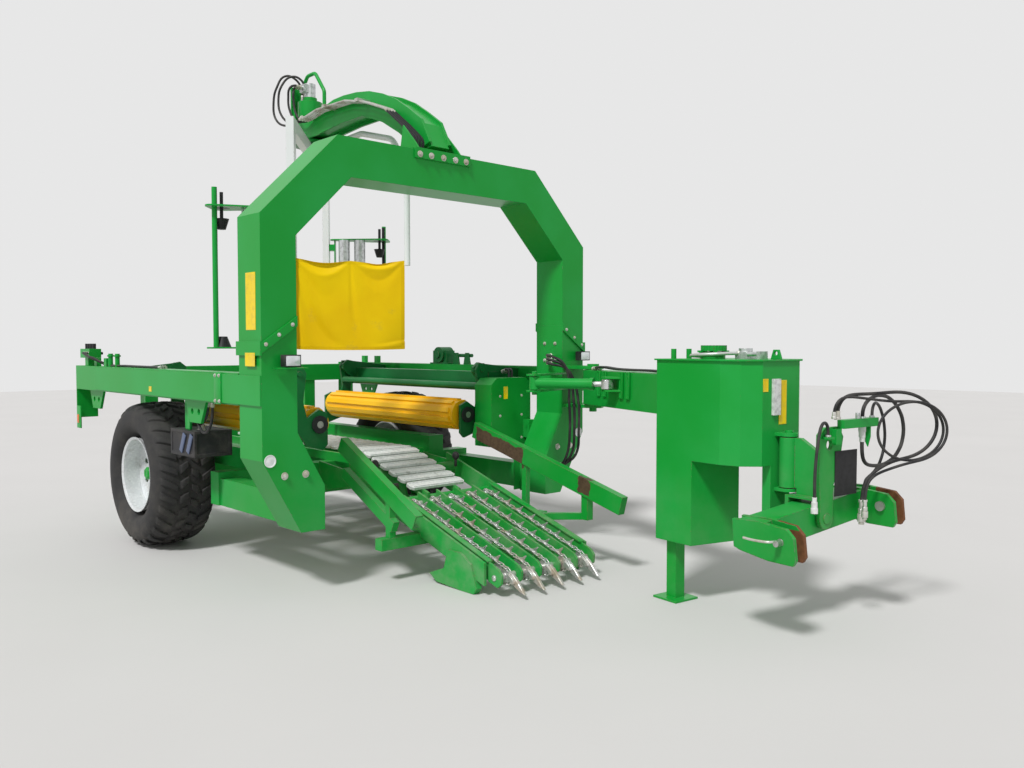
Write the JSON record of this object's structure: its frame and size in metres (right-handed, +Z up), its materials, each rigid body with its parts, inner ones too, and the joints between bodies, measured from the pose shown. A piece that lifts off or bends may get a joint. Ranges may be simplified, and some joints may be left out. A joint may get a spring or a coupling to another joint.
{
  "type": "trailed square bale wrapper",
  "caption": "Trailed wrapper for square bales: portal arch, overhead turning satellite with film dispensers, chain pick-up ramp, bale rollers and a swinging drawbar with oil tank.",
  "frame": {"origin": "on the ground under the middle of the overall box", "axes": "+X forward along the machine to the hitch, +Y to the machine's left, +Z up"},
  "size_m": [6.3694, 2.95, 3.986],
  "materials": {
    "green_paint": "glossy",
    "dark_green_paint": "satin",
    "yellow_paint": "glossy",
    "white_paint": "satin",
    "galvanised": "matt",
    "bare_steel": "worn",
    "tyre_rubber": "matt",
    "black_plastic": "matt",
    "yellow_cloth": "matt",
    "hose_rubber": "matt"
  },
  "bodies": {
    "chassis": {"main_frame": "green_paint", "axle": "green_paint", "leg_right": "green_paint", "leg_left": "green_paint", "arch": "green_paint", "side_beam_right": "green_paint", "side_beam_left": "green_paint", "rear_frame": "green_paint", "boom": "green_paint", "boom_pipes": "bare_steel", "slew_drive": "green_paint", "bale_bed": "green_paint", "bed_slats": "galvanised", "ramp_hinge": "green_paint", "roller_beam_left": "dark_green_paint", "roller_beam_right": "dark_green_paint", "swing_bracket": "green_paint", "cover_box": "green_paint", "lift_gear": "dark_green_paint", "valve_bank": "green_paint", "work_lamps": "black_plastic", "black_box": "black_plastic"},
    "wheel_right": {"tyre_right": "tyre_rubber", "rim_right": "galvanised"},
    "wheel_left": {"tyre_left": "tyre_rubber", "rim_left": "galvanised"},
    "satellite": {"satellite_hub": "dark_green_paint", "satellite_arms": "white_paint", "dispenser_front": "green_paint", "dispenser_rear": "green_paint", "safety_hoop": "white_paint", "wind_cloth": "yellow_cloth"},
    "roller_frame_left": {"roller_frame_left": "dark_green_paint"},
    "roller_left": {"roller_left": "yellow_paint"},
    "roller_frame_right": {"roller_frame_right": "dark_green_paint"},
    "roller_right": {"roller_right": "yellow_paint"},
    "ramp": {"ramp_frame": "green_paint", "ramp_rails": "green_paint", "pickup_chains": "bare_steel", "ramp_slats": "galvanised", "ramp_guides": "green_paint"},
    "ramp_ram_barrel": {"ramp_ram_barrel": "green_paint"},
    "ramp_ram_rod": {"ramp_ram_rod": "bare_steel"},
    "drawbar": {"drawbar": "green_paint", "tank_tower": "green_paint", "tower_lid": "green_paint", "tank_fittings": "green_paint", "parking_stand": "green_paint"},
    "steer_ram_barrel": {"steer_ram_barrel": "green_paint"},
    "steer_ram_rod": {"steer_ram_rod": "bare_steel"},
    "headstock": {"headstock": "green_paint", "hose_bracket": "green_paint", "hose_1": "hose_rubber", "hose_2": "hose_rubber", "hose_3": "hose_rubber", "coupler_1": "galvanised", "coupler_2": "galvanised", "coupler_3": "galvanised"},
    "hitch": {"cross_tube": "green_paint", "hitch_pins": "bare_steel"}
  },
  "joints": [
    {"name": "wheel_right_turn", "type": "hinge", "parent": "chassis", "child": "wheel_right", "pos_m": [-1.9, -1.21, 0.585], "axis": [0, 1, 0], "continuous": true},
    {"name": "wheel_left_turn", "type": "hinge", "parent": "chassis", "child": "wheel_left", "pos_m": [-1.9, 1.21, 0.585], "axis": [0, 1, 0], "continuous": true},
    {"name": "satellite_turn", "type": "hinge", "parent": "chassis", "child": "satellite", "pos_m": [-1.55, 0, 3.36], "axis": [0, 0, 1], "continuous": true},
    {"name": "roller_left_swing", "type": "hinge", "parent": "chassis", "child": "roller_frame_left", "pos_m": [-1.3, 0.86, 1.42], "axis": [1, 0, 0], "range_deg": [0, 8]},
    {"name": "roller_left_turn", "type": "hinge", "parent": "roller_frame_left", "child": "roller_left", "pos_m": [-1.3, 0.7, 1.05], "axis": [1, 0, 0], "continuous": true},
    {"name": "roller_right_swing", "type": "hinge", "parent": "chassis", "child": "roller_frame_right", "pos_m": [-1.3, -0.86, 1.42], "axis": [-1, 0, 0], "range_deg": [0, 8]},
    {"name": "roller_right_turn", "type": "hinge", "parent": "roller_frame_right", "child": "roller_right", "pos_m": [-1.3, -0.7, 1.05], "axis": [1, 0, 0], "continuous": true},
    {"name": "ramp_lift", "type": "hinge", "parent": "chassis", "child": "ramp", "pos_m": [-0.4, 0.16, 0.6], "axis": [0, -1, 0], "range_deg": [0, 12]},
    {"name": "ramp_ram_turn", "type": "hinge", "parent": "chassis", "child": "ramp_ram_barrel", "pos_m": [-0.82, 0.16, 0.5], "axis": [0, -1, 0], "range_deg": [-1, 5]},
    {"name": "ramp_ram_slide", "type": "slide", "parent": "ramp_ram_barrel", "child": "ramp_ram_rod", "axis": [0.9798, 0, -0.2], "range_m": [-0.01, 0.05]},
    {"name": "drawbar_swing", "type": "hinge", "parent": "chassis", "child": "drawbar", "pos_m": [0.565, 1.33, 1.29], "axis": [0, 0, 1], "range_deg": [-5, 34]},
    {"name": "steer_ram_turn", "type": "hinge", "parent": "chassis", "child": "steer_ram_barrel", "pos_m": [0.5, 0.73, 1.335], "axis": [0, 0, 1], "range_deg": [-4, 18]},
    {"name": "steer_ram_slide", "type": "slide", "parent": "steer_ram_barrel", "child": "steer_ram_rod", "axis": [0.9088, 0.4172, 0], "range_m": [-0.06, 0.3]},
    {"name": "headstock_turn", "type": "hinge", "parent": "drawbar", "child": "headstock", "pos_m": [2.69687, 0.67881, 0.94], "axis": [0, 0, 1], "range_deg": [-45, 45]},
    {"name": "hitch_rock", "type": "hinge", "parent": "headstock", "child": "hitch", "pos_m": [2.83583, 0.66175, 0.64], "axis": [0.9925, -0.1219, 0], "range_deg": [-14, 2]}
  ],
  "couplings": [
    {"joint": "ramp_ram_turn", "follows": "ramp_lift", "ratio": 0.23652},
    {"joint": "ramp_ram_slide", "follows": "ramp_lift", "m_per_rad": 0.17245},
    {"joint": "steer_ram_turn", "follows": "drawbar_swing", "ratio": 0.47857},
    {"joint": "steer_ram_slide", "follows": "drawbar_swing", "m_per_rad": 0.46791}
  ]
}
